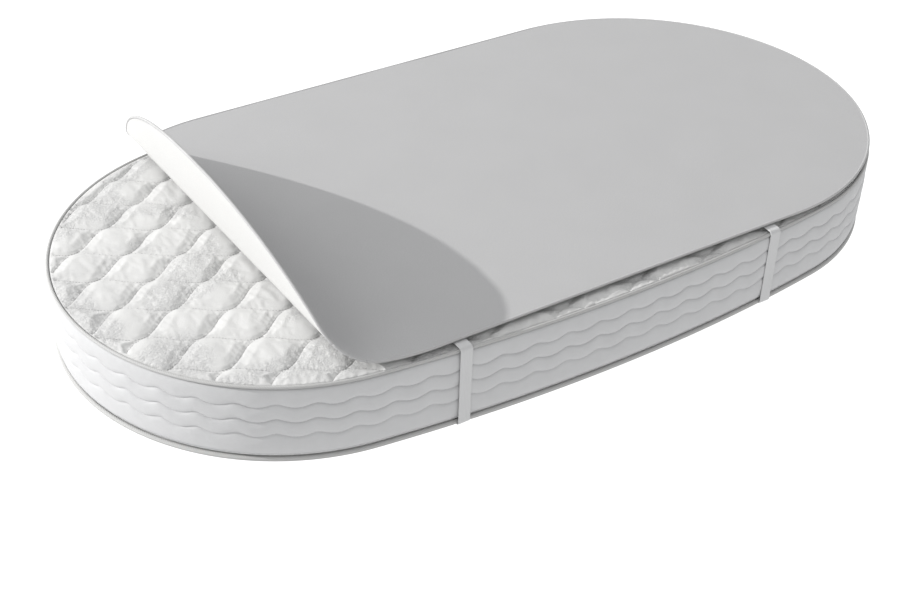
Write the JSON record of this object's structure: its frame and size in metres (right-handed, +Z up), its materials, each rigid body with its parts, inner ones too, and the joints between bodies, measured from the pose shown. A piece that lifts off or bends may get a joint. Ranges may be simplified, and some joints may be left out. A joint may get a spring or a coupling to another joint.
{
  "type": "oval crib mattress",
  "caption": "Oval crib mattress with a quilted top, stitched border and piping, under a thin protector held by elastic straps, its left end peeled up.",
  "frame": {"origin": "centre of the mattress's base, on the floor", "axes": "+X along the mattress, away from the peeled end; +Z up; +Y across, towards the back"},
  "size_m": [1.2809, 0.684, 0.2767],
  "materials": {
    "ticking": "quilted knit with a soft jacquard",
    "border_ticking": "smooth knit with wavy stitch lines",
    "base_ticking": "plain knit",
    "piping": "woven tape round a cord",
    "zip_tape": "woven tape",
    "zip_coil": "moulded coil",
    "zip_metal": "satin plating",
    "wadding": "soft fibre",
    "liner": "thin bonded cloth",
    "coir": "coarse fibre, bonded with latex",
    "foam": "open-cell foam",
    "soft_foam": "soft open-cell foam",
    "protector_grey": "fine brushed knit",
    "protector_white": "smooth laminated backing",
    "binding": "folded tape",
    "elastic": "ribbed elastic webbing",
    "patch": "woven tape, box-stitched"
  },
  "bodies": {
    "mattress": {"bottom_panel": "base_ticking", "bottom_piping": "piping", "zip_tape_lower": "zip_tape", "zip_tape_upper": "zip_tape", "zip_teeth": "zip_coil", "zip_end_stops": "zip_metal", "border_band": "border_ticking", "border_wadding": "wadding", "top_piping": "piping", "quilted_top": "ticking", "top_wadding": "wadding", "core_liner": "liner", "coir_layer": "coir", "foam_core": "foam", "comfort_foam": "soft_foam", "protector_face": "protector_grey", "protector_backing": "protector_white", "protector_binding": "binding", "strap_left": "elastic", "strap_right": "elastic", "strap_patches_left": "patch", "strap_patches_right": "patch"},
    "flap_1": {"flap_1_face": "protector_grey", "flap_1_backing": "protector_white", "flap_1_binding": "binding"},
    "flap_2": {"flap_2_face": "protector_grey", "flap_2_backing": "protector_white", "flap_2_binding": "binding"},
    "flap_3": {"flap_3_face": "protector_grey", "flap_3_backing": "protector_white", "flap_3_binding": "binding"},
    "flap_4": {"flap_4_face": "protector_grey", "flap_4_backing": "protector_white", "flap_4_binding": "binding"},
    "zip_slider": {"zip_slider": "zip_metal"},
    "pull_tab": {"pull_tab": "zip_metal"}
  },
  "joints": [
    {"name": "flap_peel", "type": "hinge", "parent": "mattress", "child": "flap_1", "pos_m": [-0.36049, 0, 0.1262], "axis": [0, 1, 0], "range_deg": [-18.5, 12]},
    {"name": "flap_bend_2", "type": "hinge", "parent": "flap_1", "child": "flap_2", "pos_m": [-0.3804, 0, 0.13286], "axis": [0, 1, 0], "range_deg": [-18.5, 12]},
    {"name": "flap_bend_3", "type": "hinge", "parent": "flap_2", "child": "flap_3", "pos_m": [-0.39716, 0, 0.14549], "axis": [0, 1, 0], "range_deg": [-18.5, 12]},
    {"name": "flap_bend_4", "type": "hinge", "parent": "flap_3", "child": "flap_4", "pos_m": [-0.40905, 0, 0.16279], "axis": [0, 1, 0], "range_deg": [-18.5, 12]},
    {"name": "slider_travel", "type": "hinge", "parent": "mattress", "child": "zip_slider", "pos_m": [0, -2.34545, 0.0106], "axis": [0, 0, 1], "range_deg": [0, 7.8]},
    {"name": "tab_swing", "type": "hinge", "parent": "zip_slider", "child": "pull_tab", "pos_m": [0.15024, 0.33499, 0.0106], "axis": [0, 0, 1], "range_deg": [0, 170]}
  ],
  "couplings": [
    {"joint": "flap_bend_2", "follows": "flap_peel", "ratio": 1},
    {"joint": "flap_bend_3", "follows": "flap_peel", "ratio": 1},
    {"joint": "flap_bend_4", "follows": "flap_peel", "ratio": 1}
  ]
}
